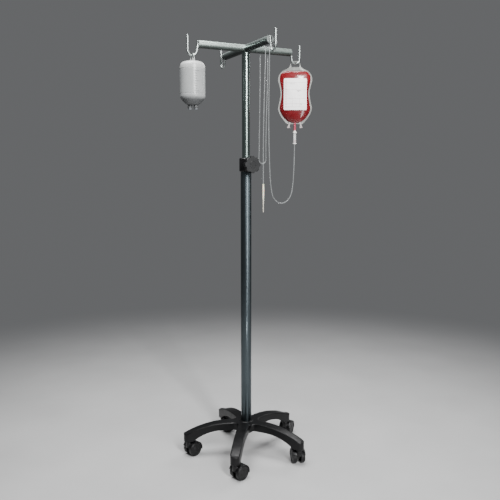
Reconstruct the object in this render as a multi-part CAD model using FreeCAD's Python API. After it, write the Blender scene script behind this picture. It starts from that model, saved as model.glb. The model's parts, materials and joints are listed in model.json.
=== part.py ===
import FreeCAD, Part
import math
import os

# Drip stand: five-leg base on twin-wheel casters, telescopic pole clamped by a knob, four hook arms,
# an infusion bottle on the left hook and a blood bag with its giving set on the right hook.
# Millimetres. Z is up, the origin is on the floor under the pole, the arms lie along X and Y.

V = FreeCAD.Vector
X, Y, Z = V(1, 0, 0), V(0, 1, 0), V(0, 0, 1)
ORIGIN = V(0, 0, 0)

# Clearances
running_clearance = 0.05    # radial, a shaft in its bore
sliding_clearance = 0.1     # radial, the mast in its bush
neighbour_gap = 0.3         # between loose neighbours on different bodies

# Casters
caster_count = 5
caster_circle = 214.0       # pole axis to a caster's stem
wheel_radius = 25.0
wheel_width = 15.0
wheel_rim = 3.5
wheel_face = 3.0            # thickness of the closed outer face
wheel_dish = 1.2            # depth of the ring pressed into that face
wheel_dish_edge = 2.5       # from the rim's step to the ring
wheel_hub_radius = 7.0
wheel_hub_lip = 3.0         # from the hub to the ring
wheel_round = 1.5
wheel_side_gap = 0.75
web_thickness = 13.0
web_eye = 13.0              # round the axle
hood_gap = 1.5
hood_wall = 2.5
hood_start = -12.0          # degrees round the axle, from the trailing side up
hood_end = 158.0
caster_trail = 19.0
stem_radius = 5.5
stem_length = 27.5
stem_housing_wall = 4.5
stem_root_radius = 4.0
stem_root_length = 22.0
axle_radius = 4.0
axle_seat = 0.7             # how far the axle goes into the closed face's recess
swivel_gap = 1.0
caster_yaws = [-20.0, 18.7, 18.7, 75.0, 40.0]    # trailing direction of each caster at rest

# Base
boss_clearance = 4.5        # hood to the boss on the leg
tip_boss_radius = 17.0
leg_root_half_width = 20.0
leg_tip_half_width = 17.0
leg_rise = 66.0             # boss's foot to the flat top of the legs round the hub
leg_tip_rise = 33.0         # boss's foot to the leg's top over the stem
leg_flat = 70.0             # where the top of a leg starts to fall
leg_depth = 26.5            # at the hub
leg_under_flat = 95.0       # where the underside starts to fall
leg_elbow = 14.0            # radius in side view where the top turns down at the tip
leg_web = 18.0              # radius in plan between two legs
leg_wall = 4.0
leg_bays = 4
rib_thickness = 3.0
hub_wall = 6.0              # round the lower tube
hub_rim = 2.5               # above the legs
hub_chamfer = 1.5
hub_depth = 43.0
hub_floor = 6.0
bolt_radius = 5.0
bolt_hole_gap = 0.25
bolt_head_radius = 8.5
bolt_head_height = 6.5
bolt_length = 40.0
washer_radius = 15.0
washer_thickness = 2.5

# Telescopic pole
lower_tube_radius = 19.0
lower_tube_wall = 1.5
lower_tube_top = 1080.0
end_plug_length = 30.0
upper_tube_radius = 14.0
upper_tube_wall = 1.2
upper_tube_bottom = 557.0
guide_bush_length = 40.0
guide_flange = 3.0
slider_length = 35.0
slider_skirt = 4.0          # below the mast's end
slider_bore = 4.0

# Clamp collar and knob
collar_wall = 4.5
collar_skirt = 41.0         # below the lower tube's top
collar_lip = 3.0
collar_chamfer = 2.5
collar_bore_gap = 0.5
clamp_drop = 17.0           # lower tube's top to the knob's axis
clamp_boss_radius = 11.0
clamp_boss_rise = 10.5      # collar's face to the boss's face
insert_radius = 6.5
stud_radius = 4.0
pad_radius = 5.5
pad_thickness = 4.5
pad_socket_depth = 2.0
stud_nose_radius = 3.0
knob_radius = 29.5
knob_thickness = 18.0
knob_lobes = 8
knob_scallop_radius = 8.0
knob_scallop_depth = 4.0
knob_edge = 2.5
knob_rim = 9.0
knob_core = 9.0
knob_core_rise = 1.5        # core past the back of the rim
knob_web = 4.0
knob_standoff = 3.0         # from the clamp boss to the knob
knob_travel = 2.5           # how far two turns back the knob and the pad off
knob_cap_radius = 12.0
knob_cap_thickness = 2.0
knob_cap_rise = 0.6

# Arms and hooks
arm_height = 1457.0
arm_radius = 12.5
arm_wall = 1.5
arm_reach = 175.0
hook_disc = 2.0
rod_radius = 3.5
hook_bend = 16.0            # centre line radius of the U
hook_drop = 37.5            # arm axis down to the centre line at the bottom of the U
hook_tip_rise = 28.0        # tip above the arm axis
hook_root_rise = 8.0        # top end of the rod above the arm axis
hook_lean = 5.0             # how far the rod's top end leans back over the arm's end
head_plug_length = 30.0

# Infusion bottle
bottle_radius = 42.0
bottle_drop = 20.0          # seat of the hook down to the bottle's top
bottle_height = 144.0
bottle_shoulder = 18.0
bottle_dome = 26.0
bottle_wall = 1.2
bottle_air = 30.0
port_radius = 6.5
port_length = 11.0
port_spacing = 20.0
port_margin = 1.5
stopper_radius = 5.0
stopper_length = 4.0
bail_wire = 2.0
bail_half_width = 15.0
lug_thickness = 5.0
lug_half_depth = 4.0
bail_pin_length = 7.0

# Blood bag
bag_yaw = -26.3
film_thickness = 0.8
pouch_wall = 0.9
slot_side_room = 23.0       # slot's width past the rod's thickness, as the rod crosses it at a slant
slot_under_room = 7.0       # slot's height past the rod's thickness
slot_corner = 3.0
slot_gap = 1.0              # between the hook's rod and the slot's upper edge
slot_margin = 5.6
label_width = 82.0
label_height = 111.0
label_bottom = -165.5       # below the hook's seat
label_thickness = 0.4
bag_port_radius = 3.5
bag_port_length = 19.0
bag_port_bottom = -226.0
bag_port_sides = (-20.0, 21.0)
spike_port_radius = 4.5
spike_port_top = -214.0
spike_port_bottom = -227.0
spike_radius = 3.2
spike_bottom = -243.0
chamber_length = 44.0
chamber_radius = 5.0
chamber_wall = 0.8
chamber_cap_radius = 7.25
chamber_cap_height = 3.5
# height below the hook's seat, half width: the welded outline of the film, from the top down
film_outline = [(-12, 20), (-20, 30), (-29, 46), (-42, 58), (-59, 61), (-80, 56), (-104, 51.8), (-130, 55),
                (-159, 60.5), (-183, 50), (-203, 35), (-214, 27)]
# height below the hook's seat, half width, half thickness of the filled pouch, from the bottom up
pouch_sections = [(-213, 9, 3), (-207, 22, 7), (-193, 37, 12), (-159, 52, 16.5), (-131, 48, 17.5),
                  (-104, 45, 17), (-78, 49, 15.5), (-59, 52, 13), (-43, 50, 9), (-33, 43, 5), (-29, 34, 2)]

# Giving set: tube from the drip chamber, over the right arm twice, to a flash bulb and a sheathed needle
tubing_radius = 2.0
bulb_radius = 3.25
bulb_length = 54.0
bulb_shoulder = 4.0
sheath_top_radius = 2.6
sheath_tip_radius = 1.5
sheath_length = 46.0
sheath_hub_length = 9.0
tubing_split = 135.0        # the tube is two nodes that meet at this X, one on the bag and one on the arm
tubing_route = [
    (196, 0, 1136), (196, 0, 1101), (195, 1, 1043), (192, 2, 986), (185, 3, 951), (169, 4, 930), (146, 5, 922),
    (124, 3, 930), (107, -1, 948), (98, -6, 974), (91, -10, 1016), (86, -14, 1074), (82, -16, 1160),
    (80, -18, 1265), (81, -19, 1362), (82, -18.5, 1432), (83, -18.5, 1475.5), (94, 18.5, 1475.5),
    (95, 19, 1432), (94, 18, 1362), (91, 18, 1268), (89, 19, 1180), (88, 18, 1121), (88.5, 18, 1094),
    (88, 18, 1073), (74.5, 18.5, 1065), (60.5, 18.7, 1073.2), (60.5, 18, 1094), (61.5, 18.5, 1121),
    (62, 18, 1182), (64, 18.5, 1270), (65, 19, 1363), (64.5, 18.5, 1432), (65, 18.5, 1475.5),
    (67, -18.5, 1475.5), (66.5, -19, 1432), (64, -18.5, 1362), (61.5, -18, 1268), (60, -17, 1176),
    (60, -16, 1090), (61, -15, 1032), (61, -15, 995)]

# Derived sizes
boss_bottom = 2 * wheel_radius + hood_gap + hood_wall + boss_clearance
leg_top = boss_bottom + leg_rise
leg_tip_top = boss_bottom + leg_tip_rise
leg_under = leg_top - leg_depth
hub_radius = lower_tube_radius + hub_wall
hub_top = leg_top + hub_rim
hub_bottom = hub_top - hub_depth
collar_radius = lower_tube_radius + collar_wall
collar_bottom = lower_tube_top - collar_skirt
clamp_height = lower_tube_top - clamp_drop
clamp_boss_reach = collar_radius + clamp_boss_rise
slot_width = 2 * rod_radius + slot_side_room
slot_height = 2 * rod_radius + slot_under_room
hook_reach = arm_reach + hook_disc + rod_radius + hook_bend      # pole axis to the middle of a U
hook_seat = arm_height - hook_drop + rod_radius                  # where a load rests
boss_top = boss_bottom - swivel_gap                              # top of a caster's housing
collar_top = lower_tube_top + guide_flange + collar_lip
lower_tube_bottom = hub_bottom + hub_floor
lower_tube_bore = lower_tube_radius - lower_tube_wall
guide_bore = upper_tube_radius + sliding_clearance
upper_tube_bore = upper_tube_radius - upper_tube_wall
nodes = {}


def box(low, high):
    """Box between two corners."""
    low, high = V(*low), V(*high)
    size = high - low
    return Part.makeBox(size.x, size.y, size.z, low)


def rod(radius, start, end):
    """Solid cylinder between two points."""
    start, end = V(*start), V(*end)
    return Part.makeCylinder(radius, (end - start).Length, start, end - start)


def pipe(outer, inner, start, end):
    """Open tube between two points."""
    return rod(outer, start, end).cut(rod(inner, start, end))


def face(start, *steps):
    """Closed face in the XZ plane. A step is a point, or a pair of points for an arc through the first."""
    edges = []
    here = V(start[0], 0, start[1])
    for step in steps:
        if isinstance(step[0], tuple):
            through, there = (V(p[0], 0, p[1]) for p in step)
            edges.append(Part.Arc(here, through, there).toShape())
        else:
            there = V(step[0], 0, step[1])
            edges.append(Part.LineSegment(here, there).toShape())
        here = there
    begin = V(start[0], 0, start[1])
    if not here.isEqual(begin, 1e-6):
        edges.append(Part.LineSegment(here, begin).toShape())
    return Part.Face(Part.Wire(edges))


def turned(section):
    """Solid of revolution about Z of a face in the XZ plane."""
    return section.revolve(ORIGIN, Z, 360)


def on_circle(centre, radius, degrees):
    """Point of a circle in a flat drawing."""
    angle = math.radians(degrees)
    return centre[0] + radius * math.cos(angle), centre[1] + radius * math.sin(angle)


def heading(centre, point):
    """Direction in degrees from a circle's centre to a point."""
    return math.degrees(math.atan2(point[1] - centre[1], point[0] - centre[0]))


def placed(shape, yaw=0.0, move=ORIGIN):
    """Copy of a shape turned about Z and then moved."""
    shape = shape.copy()
    shape.rotate(ORIGIN, Z, yaw)
    shape.translate(move)
    return shape


# ---------------------------------------------------------------- base

def tapered_slot(root, tip, length, height):
    """Prism whose plan is the hull of two circles."""
    lean = math.acos((root - tip) / length)
    c, s = math.cos(lean), math.sin(lean)
    points = [V(root * c, root * s, 0), V(length + tip * c, tip * s, 0),
              V(length + tip * c, -tip * s, 0), V(root * c, -root * s, 0)]
    edges = [Part.LineSegment(points[0], points[1]).toShape(),
             Part.Arc(points[1], V(length + tip, 0, 0), points[2]).toShape(),
             Part.LineSegment(points[2], points[3]).toShape(),
             Part.Arc(points[3], V(-root, 0, 0), points[0]).toShape()]
    return Part.Face(Part.Wire(edges)).extrude(V(0, 0, height))


def leg_dome(shrink):
    """Solid of revolution over all the legs: flat round the hub, an arch, and an elbow at the tips.

    Shrunk by a wall, it has no underside of its own and reaches below the legs."""
    end = caster_circle + leg_tip_half_width
    reach, fall = caster_circle - leg_flat, leg_top - leg_tip_top
    arch = (reach ** 2 + fall ** 2) / (2 * fall)
    arch_centre = (leg_flat, leg_top - arch)
    elbow_run = end - leg_elbow - leg_flat
    elbow_centre = (end - leg_elbow, arch_centre[1] + math.sqrt((arch - leg_elbow) ** 2 - elbow_run ** 2))
    turn = heading(arch_centre, elbow_centre)
    top = [(leg_flat, leg_top - shrink),
           (on_circle(arch_centre, arch - shrink, (90 + turn) / 2),
            on_circle(arch_centre, arch - shrink, turn)),
           (on_circle(elbow_centre, leg_elbow - shrink, turn / 2), (end - shrink, elbow_centre[1]))]
    if shrink:
        return turned(face((0, leg_top - shrink), *top, (end - shrink, 0), (0, 0)))
    under_end = (caster_circle - tip_boss_radius + leg_wall / 2, boss_bottom + leg_wall / 2)
    across, down = under_end[0] - leg_under_flat, leg_under - under_end[1]
    under = (across ** 2 + down ** 2) / (2 * down)
    under_centre = (leg_under_flat, leg_under - under)
    under_mid = on_circle(under_centre, under, (90 + heading(under_centre, under_end)) / 2)
    return turned(face((0, leg_top), *top, (end, under_end[1]), under_end,
                       (under_mid, (leg_under_flat, leg_under)),
                       (0, leg_under)))


def star_plan():
    """Prism whose plan is the five legs with a round between each two."""
    half_gap = 180 / caster_count
    lean = math.degrees(math.acos((leg_root_half_width - leg_tip_half_width) / caster_circle))
    web_out = (leg_root_half_width + leg_web) / math.cos(math.radians(lean - half_gap))
    edges = []
    for k in range(caster_count):
        angle = leg_angle(k)
        stem = on_circle((0, 0), caster_circle, angle)
        right = on_circle(stem, leg_tip_half_width, angle - lean)
        tip = on_circle((0, 0), caster_circle + leg_tip_half_width, angle)
        left = on_circle(stem, leg_tip_half_width, angle + lean)
        web = on_circle((0, 0), web_out, angle + half_gap)
        web_start = on_circle(web, leg_web, angle + lean + 180)
        web_middle = on_circle((0, 0), web_out - leg_web, angle + half_gap)
        web_end = on_circle(web, leg_web, angle + 2 * half_gap - lean + 180)
        previous = on_circle((0, 0), web_out, angle - half_gap)
        here = on_circle(previous, leg_web, angle - lean + 180)
        points = [V(*p, 0) for p in (here, right, tip, left, web_start, web_middle, web_end)]
        edges += [Part.LineSegment(points[0], points[1]).toShape(), Part.Arc(*points[1:4]).toShape(),
                  Part.LineSegment(points[3], points[4]).toShape(), Part.Arc(*points[4:7]).toShape()]
    return Part.Face(Part.Wire(edges)).extrude(V(0, 0, leg_top + 1))


def leg_cells():
    """Pockets under the leg along X, on both sides of its middle rib and between its cross ribs."""
    room = leg_dome(leg_wall).common(tapered_slot(leg_root_half_width - leg_wall,
                                                  leg_tip_half_width - leg_wall,
                                                  caster_circle, leg_top))
    start, stop = hub_radius + leg_wall, caster_circle - tip_boss_radius - rib_thickness
    pitch = (stop - start) / leg_bays
    cells = []
    for bay in range(leg_bays):
        for side in (-1, 1):
            low, high = sorted((side * rib_thickness / 2, side * leg_root_half_width))
            cell = box((start + bay * pitch, low, 1),
                       (start + (bay + 1) * pitch - rib_thickness, high, leg_top))
            cells.append(room.common(cell).Solids[0])
    return cells


def star_base():
    """Five-leg moulded base with a socket for the lower tube and a bore for each stem."""
    base = star_plan().common(leg_dome(0)).removeSplitter()
    boss = rod(tip_boss_radius, (caster_circle, 0, boss_bottom), (caster_circle, 0, leg_tip_top - leg_wall))
    stem = rod(stem_radius + running_clearance, (caster_circle, 0, boss_bottom - swivel_gap),
               (caster_circle, 0, boss_top + stem_length + swivel_gap))
    cells = leg_cells()
    hub = rod(hub_radius, (0, 0, hub_bottom), (0, 0, hub_top))
    hub = hub.makeChamfer(hub_chamfer, [e for e in hub.Edges if e.CenterOfMass.z > leg_top and e.Closed])
    base = base.fuse(hub)
    for k in range(caster_count):
        base = base.fuse(placed(boss, leg_angle(k)))
        base = base.cut([placed(piece, leg_angle(k)) for piece in cells + [stem]])
    base = base.cut(rod(lower_tube_radius, (0, 0, lower_tube_bottom), (0, 0, hub_top + 1)))
    return base.cut(rod(bolt_radius + bolt_hole_gap, (0, 0, hub_bottom - 1), (0, 0, lower_tube_bottom + 1)))


def leg_angle(k):
    """Direction of a leg: one points to the back."""
    return 90 + 360 * k / caster_count


def base_fastening():
    """Threaded plug in the foot of the lower tube, with its washer and bolt."""
    plug = pipe(lower_tube_bore, bolt_radius, (0, 0, lower_tube_bottom),
                (0, 0, lower_tube_bottom + end_plug_length))
    washer = pipe(washer_radius, bolt_radius + bolt_hole_gap, (0, 0, hub_bottom - washer_thickness),
                  (0, 0, hub_bottom))
    head_top = hub_bottom - washer_thickness
    head = Part.Face(Part.makePolygon([V(*on_circle((0, 0), bolt_head_radius, 60 * k), 0) for k in range(7)]))
    head = placed(head.extrude(V(0, 0, bolt_head_height)), 0, V(0, 0, head_top - bolt_head_height))
    bolt = head.fuse(rod(bolt_radius, (0, 0, head_top), (0, 0, head_top + bolt_length)))
    nodes["tube_end_plug"] = plug
    nodes["base_washer"] = washer
    nodes["base_bolt"] = bolt.removeSplitter()


# ---------------------------------------------------------------- casters

def caster_hood():
    """Housing with a web between the wheels, a hood over them and a boss round the stem.

    The axle is at X = trail.
    """
    inner = wheel_radius + hood_gap
    outer = inner + hood_wall
    half = web_thickness / 2 + wheel_side_gap + wheel_width
    centre = (caster_trail, wheel_radius)
    middle, root = (hood_start + hood_end) / 2, outer - hood_wall / 2
    shell = face(on_circle(centre, inner, hood_start), on_circle(centre, outer, hood_start),
                 (on_circle(centre, outer, middle), on_circle(centre, outer, hood_end)),
                 on_circle(centre, inner, hood_end), (on_circle(centre, inner, middle),
                                                      on_circle(centre, inner, hood_start)))
    shell = shell.extrude(V(0, 2 * half, 0))
    shell.translate(V(0, -half, 0))
    web = face(on_circle(centre, root, hood_start), (on_circle(centre, root, middle),
                                                     on_circle(centre, root, hood_end)),
               on_circle(centre, web_eye, 225),
               (on_circle(centre, web_eye, 270), on_circle(centre, web_eye, 315)))
    web = web.extrude(V(0, web_thickness, 0))
    web.translate(V(0, -web_thickness / 2, 0))
    boss = rod(stem_radius + stem_housing_wall, (0, 0, wheel_radius + stem_housing_wall * 2),
               (0, 0, boss_top))
    for side in (-1, 1):
        near, far = side * web_thickness / 2, side * 2 * half
        boss = boss.cut(rod(inner, (caster_trail, near, wheel_radius), (caster_trail, far, wheel_radius)))
    hood = shell.fuse([web, boss])
    hood = hood.cut(rod(axle_radius, (caster_trail, -half, wheel_radius), (caster_trail, half, wheel_radius)))
    return hood.cut(rod(stem_root_radius, (0, 0, boss_top - stem_root_length),
                        (0, 0, boss_top + 1))).removeSplitter()


def caster_pins():
    """Stem that turns in the leg, and the axle pressed through the web: two solids."""
    stem = rod(stem_radius, (0, 0, boss_top), (0, 0, boss_top + stem_length))
    stem = stem.fuse(rod(stem_root_radius, (0, 0, boss_top - stem_root_length), (0, 0, boss_top)))
    reach = web_thickness / 2 + wheel_side_gap + wheel_width - wheel_face + axle_seat
    axle = rod(axle_radius, (caster_trail, -reach, wheel_radius), (caster_trail, reach, wheel_radius))
    return Part.makeCompound([stem.removeSplitter(), axle])


def caster_wheel(side):
    """Dished wheel with a closed outer face and a hub that runs on the axle."""
    r, w, hub, bore = wheel_radius, wheel_width, wheel_hub_radius, axle_radius + running_clearance
    rim, floor, seat = wheel_radius - wheel_rim, wheel_width - wheel_face - 2, wheel_width - wheel_face + 1
    ring_out, ring_in = rim - wheel_dish_edge, hub + wheel_hub_lip
    section = face((bore, 0), (hub, 0), (hub, floor), (rim, floor), (rim, 0), (r - wheel_round, 0),
                   (r, wheel_round), (r, w - wheel_round), (r - wheel_round, w),
                   (ring_out + wheel_dish, w), (ring_out, w - wheel_dish),
                   (ring_in, w - wheel_dish), (ring_in - wheel_dish, w), (0, w), (0, seat), (bore, seat))
    wheel = turned(section)
    wheel.rotate(ORIGIN, X, -90 * side)
    wheel.translate(V(caster_trail, side * (web_thickness / 2 + wheel_side_gap), wheel_radius))
    return wheel


def casters():
    """Five casters, each turned to its own trailing direction."""
    pieces = {"hood": caster_hood(), "stem_axle": caster_pins(), "wheel_left": caster_wheel(1),
              "wheel_right": caster_wheel(-1)}
    for k in range(caster_count):
        angle = math.radians(leg_angle(k))
        stem = V(caster_circle * math.cos(angle), caster_circle * math.sin(angle), 0)
        for name, piece in pieces.items():
            nodes[f"caster_{k + 1}_{name}"] = placed(piece, caster_yaws[k], stem)


# ---------------------------------------------------------------- pole and clamp

def pole():
    """Lower tube with its guide bush, and the mast tube with its slider bush."""
    hole = rod(pad_radius + neighbour_gap, (0, 0, clamp_height), (0, -collar_radius, clamp_height))
    lower = pipe(lower_tube_radius, lower_tube_bore, (0, 0, lower_tube_bottom), (0, 0, lower_tube_top))
    bush = pipe(lower_tube_bore, guide_bore, (0, 0, lower_tube_top - guide_bush_length),
                (0, 0, lower_tube_top))
    flange = pipe(lower_tube_radius, guide_bore, (0, 0, lower_tube_top),
                  (0, 0, lower_tube_top + guide_flange))
    nodes["lower_tube"] = lower.cut(hole)
    nodes["guide_bush"] = bush.fuse(flange).removeSplitter().cut(hole)
    mast = pipe(upper_tube_radius, upper_tube_bore, (0, 0, upper_tube_bottom), (0, 0, arm_height))
    plug = rod(upper_tube_bore, (0, 0, arm_height - arm_radius - head_plug_length), (0, 0, arm_height))
    for k in range(4):
        arm = placed(rod(arm_radius, (0, 0, arm_height), (arm_reach, 0, arm_height)), 90 * k)
        mast = mast.cut(arm)
        plug = plug.cut(arm)
    nodes["upper_tube"] = mast.Solids[0]
    nodes["head_plug"] = plug.Solids[0]
    foot = upper_tube_bottom
    slider = rod(lower_tube_bore - sliding_clearance, (0, 0, foot - slider_skirt), (0, 0, foot))
    slider = slider.fuse(pipe(lower_tube_bore - sliding_clearance, upper_tube_radius, (0, 0, foot),
                              (0, 0, foot + slider_length)))
    slider = slider.fuse(rod(upper_tube_bore, (0, 0, foot), (0, 0, foot + slider_length / 2)))
    bore = rod(slider_bore, (0, 0, foot - slider_skirt - 1), (0, 0, foot + slider_length))
    nodes["slider_bush"] = slider.removeSplitter().cut(bore)


def collar():
    """Moulded collar over the top of the lower tube, with a boss and a brass insert for the knob's stud."""
    c = collar_chamfer
    body = turned(face((0, collar_bottom), (collar_radius - c, collar_bottom),
                       (collar_radius, collar_bottom + c),
                       (collar_radius, collar_top - c), (collar_radius - c, collar_top), (0, collar_top)))
    boss = rod(clamp_boss_radius, (0, 0, clamp_height), (0, -clamp_boss_reach, clamp_height))
    body = body.fuse(boss)
    body = body.cut(rod(lower_tube_radius, (0, 0, collar_bottom - 1), (0, 0, collar_top - collar_lip)))
    body = body.cut(rod(upper_tube_radius + collar_bore_gap, (0, 0, collar_bottom), (0, 0, collar_top + 1)))
    behind_pad = upper_tube_radius + pad_thickness + knob_travel + 2 * neighbour_gap
    start = -max(behind_pad, lower_tube_radius + neighbour_gap)
    insert = pipe(insert_radius, stud_radius, (0, start, clamp_height), (0, -clamp_boss_reach, clamp_height))
    body = body.cut(rod(insert_radius, (0, 0, clamp_height), (0, -clamp_boss_reach - 1, clamp_height)))
    nodes["collar_body"] = body.removeSplitter()
    nodes["threaded_insert"] = insert


def knob():
    """Lobed knob with its stud and cap, and the pad that the stud presses on the mast."""
    back = -(clamp_boss_reach + knob_standoff)
    front = back - knob_thickness
    pad_front = -(upper_tube_radius + running_clearance)
    pad_back = pad_front - pad_thickness
    e = knob_edge
    blank = turned(face((0, 0), (knob_radius - e, 0),
                        (on_circle((knob_radius - e, e), e, -45), (knob_radius, e)),
                        (knob_radius, knob_thickness - e),
                        (on_circle((knob_radius - e, knob_thickness - e), e, 45),
                         (knob_radius - e, knob_thickness)),
                        (0, knob_thickness)))
    for k in range(knob_lobes):
        x, y = on_circle((0, 0), knob_radius + knob_scallop_radius - knob_scallop_depth,
                         360 * (k + 0.5) / knob_lobes)
        blank = blank.cut(rod(knob_scallop_radius, (x, y, -1), (x, y, knob_thickness + 1)))
    body = blank.cut(pipe(knob_radius - knob_rim, knob_core, (0, 0, -1), (0, 0, knob_thickness - knob_web)))
    body = body.fuse(rod(knob_core, (0, 0, -knob_core_rise), (0, 0, 1)))
    body = body.cut(rod(stud_radius, (0, 0, -knob_core_rise - 1),
                        (0, 0, knob_thickness - knob_cap_thickness)))
    body = body.cut(rod(knob_cap_radius, (0, 0, knob_thickness - knob_cap_thickness),
                        (0, 0, knob_thickness + 1)))
    cap = rod(knob_cap_radius, (0, 0, knob_thickness - knob_cap_thickness),
              (0, 0, knob_thickness + knob_cap_rise))
    rim = [e for e in cap.Edges if e.CenterOfMass.z > knob_thickness and len(e.Vertexes) == 1]
    cap = cap.makeChamfer(knob_cap_rise, rim)
    for name, piece in (("knob_body", body.removeSplitter()), ("knob_cap", cap)):
        piece = piece.copy()
        piece.rotate(ORIGIN, X, 90)
        piece.translate(V(0, back, clamp_height))
        nodes[name] = piece
    shank = stud_radius - running_clearance
    stud = rod(shank, (0, pad_back - neighbour_gap, clamp_height), (0, back, clamp_height))
    stud = stud.fuse(rod(stud_radius, (0, back + knob_core_rise, clamp_height),
                         (0, front + knob_cap_thickness, clamp_height)))
    nose = pad_back + pad_socket_depth - neighbour_gap
    stud = stud.fuse(rod(stud_nose_radius - running_clearance, (0, nose, clamp_height),
                         (0, back, clamp_height)))
    pad = rod(pad_radius, (0, pad_back, clamp_height), (0, 0, clamp_height))
    pad = pad.cut(rod(upper_tube_radius + running_clearance, (0, 0, clamp_height - 20),
                      (0, 0, clamp_height + 20)))
    pad = pad.cut(rod(stud_nose_radius, (0, pad_back - 1, clamp_height),
                      (0, pad_back + pad_socket_depth, clamp_height)))
    nodes["knob_stud"] = stud.removeSplitter()
    nodes["pressure_pad"] = pad


# ---------------------------------------------------------------- arms and hooks

def arm_tube():
    """Arm along X, mitred at the pole axis to meet the other three."""
    arm = pipe(arm_radius, arm_radius - arm_wall, (0, 0, arm_height), (arm_reach, 0, arm_height))
    far = 2 * arm_radius
    mitre = Part.Face(Part.makePolygon([V(0, 0, 0), V(far, far, 0), V(arm_reach + 1, far, 0),
                                        V(arm_reach + 1, -far, 0), V(far, -far, 0), V(0, 0, 0)]))
    mitre = placed(mitre.extrude(V(0, 0, 2 * far)), 0, V(0, 0, arm_height - far))
    return arm.common(mitre).Solids[0]


def hook():
    """End disc with a rod welded to it, which leans out and down past the arm's end and turns up in a U."""
    inside, outside = hook_reach - hook_bend, hook_reach + hook_bend
    level = arm_height - hook_drop + hook_bend
    root = V(inside - hook_lean, 0, arm_height + hook_root_rise)
    lean = math.degrees(math.atan2(hook_lean, root.z - level))
    centre = (hook_reach, level)
    start, bottom, end = (on_circle(centre, hook_bend, a) for a in (180 + lean, 270, 0))
    start, bottom, end = (V(x, 0, z) for x, z in (start, bottom, end))
    tip = V(outside, 0, arm_height + hook_tip_rise - rod_radius)
    path = Part.Wire([Part.LineSegment(root, start).toShape(), Part.Arc(start, bottom, end).toShape(),
                      Part.LineSegment(end, tip).toShape()])
    ring = Part.Wire(Part.Circle(root, start - root, rod_radius).toShape())
    wire = path.makePipeShell([ring], True, False)
    disc = rod(arm_radius, (arm_reach, 0, arm_height), (arm_reach + hook_disc, 0, arm_height))
    weld_half = rod_radius * 0.6
    weld = box((arm_reach, -weld_half, arm_height - arm_radius * 0.7),
               (inside - hook_lean / 2, weld_half, arm_height + hook_root_rise))
    ends = [Part.makeSphere(rod_radius, root), Part.makeSphere(rod_radius, tip)]
    made = wire.fuse(ends + [disc, weld])
    return made.cut(rod(arm_radius, (0, 0, arm_height), (arm_reach, 0, arm_height))).removeSplitter()


def arms():
    """Four arms and their hooks: right, back, left and front."""
    arm, end = arm_tube(), hook()
    for k, side in enumerate(("right", "back", "left", "front")):
        nodes[f"arm_{side}"] = placed(arm, 90 * k)
        nodes[f"hook_{side}"] = placed(end, 90 * k)


# ---------------------------------------------------------------- bottle

def bottle():
    """Inverted infusion bottle: shell with two ports, its fluid, stoppers, and the wire bail it hangs by."""
    top = -bottle_drop
    bottom = top - bottle_height
    r = bottle_radius

    def body(shrink):
        """Outline lowered inside by a wall."""
        high, low, side = top - shrink, bottom + shrink, r - shrink
        curve, flat = bottle_shoulder - shrink, port_spacing / 2 + port_radius + port_margin
        dome = (flat + (side - flat) * 0.72, low + bottle_dome * 0.32)
        return (side - curve, high), (on_circle((side - curve, high - curve), curve, 45),
                                      (side, high - curve)), \
            (side, low + bottle_dome), (dome, (flat, low)), (0, low)

    outer, inner = turned(face((0, top), *body(0))), turned(face((0, top - bottle_wall), *body(bottle_wall)))
    shell, stoppers = outer, []
    for side in (-1, 1):
        x = side * port_spacing / 2
        shell = shell.fuse(rod(port_radius, (x, 0, bottom + bottle_wall / 2), (x, 0, bottom - port_length)))
        stoppers.append(rod(stopper_radius, (x, 0, bottom - port_length),
                            (x, 0, bottom - port_length - stopper_length)))
    pin_height = -bottle_drop + 4
    for side in (-1, 1):
        low, high = sorted((side * (bail_half_width - bail_wire - neighbour_gap),
                            side * (bail_half_width - bail_wire - neighbour_gap - lug_thickness)))
        lug = box((-lug_half_depth, low, top - 0.5), (lug_half_depth, high, pin_height))
        lug = lug.fuse(rod(lug_half_depth, (0, low, pin_height), (0, high, pin_height)))
        shell = shell.fuse(placed(lug, -bag_yaw))
    bore = rod(bail_wire + running_clearance, (0, -r, pin_height), (0, r, pin_height))
    shell = shell.cut(inner).cut(placed(bore, -bag_yaw)).removeSplitter()
    fluid = inner.common(box((-r, -r, bottom), (r, r, top - bottle_air)))
    seat = V(-hook_reach, 0, hook_seat)
    nodes["bottle_shell"] = placed(shell, bag_yaw, seat)
    nodes["bottle_fluid"] = placed(fluid, bag_yaw, seat)
    nodes["bottle_stoppers"] = placed(Part.makeCompound(stoppers), bag_yaw, seat)
    nodes["bottle_bail"] = placed(bail(pin_height), 0, seat)


def bail(pin_height):
    """Wire arch across the hook's rod, with its ends turned in as pins."""
    w, high = bail_half_width, bail_wire + neighbour_gap
    spring = high - w
    arch = Part.Wire([Part.LineSegment(V(0, -w, pin_height), V(0, -w, spring)).toShape(),
                      Part.Arc(V(0, -w, spring), V(0, 0, high), V(0, w, spring)).toShape(),
                      Part.LineSegment(V(0, w, spring), V(0, w, pin_height)).toShape()])
    ring = Part.Wire(Part.Circle(V(0, -w, pin_height), Z, bail_wire).toShape())
    wire = arch.makePipeShell([ring], True, False)
    pieces = []
    for side in (-1, 1):
        pieces.append(Part.makeSphere(bail_wire, V(0, side * w, pin_height)))
        pieces.append(rod(bail_wire, (0, side * w, pin_height),
                          (0, side * (w - bail_pin_length), pin_height)))
    return wire.fuse(pieces).removeSplitter()


# ---------------------------------------------------------------- blood bag

def pouch(grow, sections):
    """Filled pouch: a loft of ellipses, each grown by the same amount."""
    rings = []
    for z, wide, deep in sections:
        ellipse = Part.Ellipse(V(0, 0, z), wide + grow, deep + grow)
        rings.append(Part.Wire(ellipse.toShape()))
    return Part.makeLoft(rings, True, False)


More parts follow.
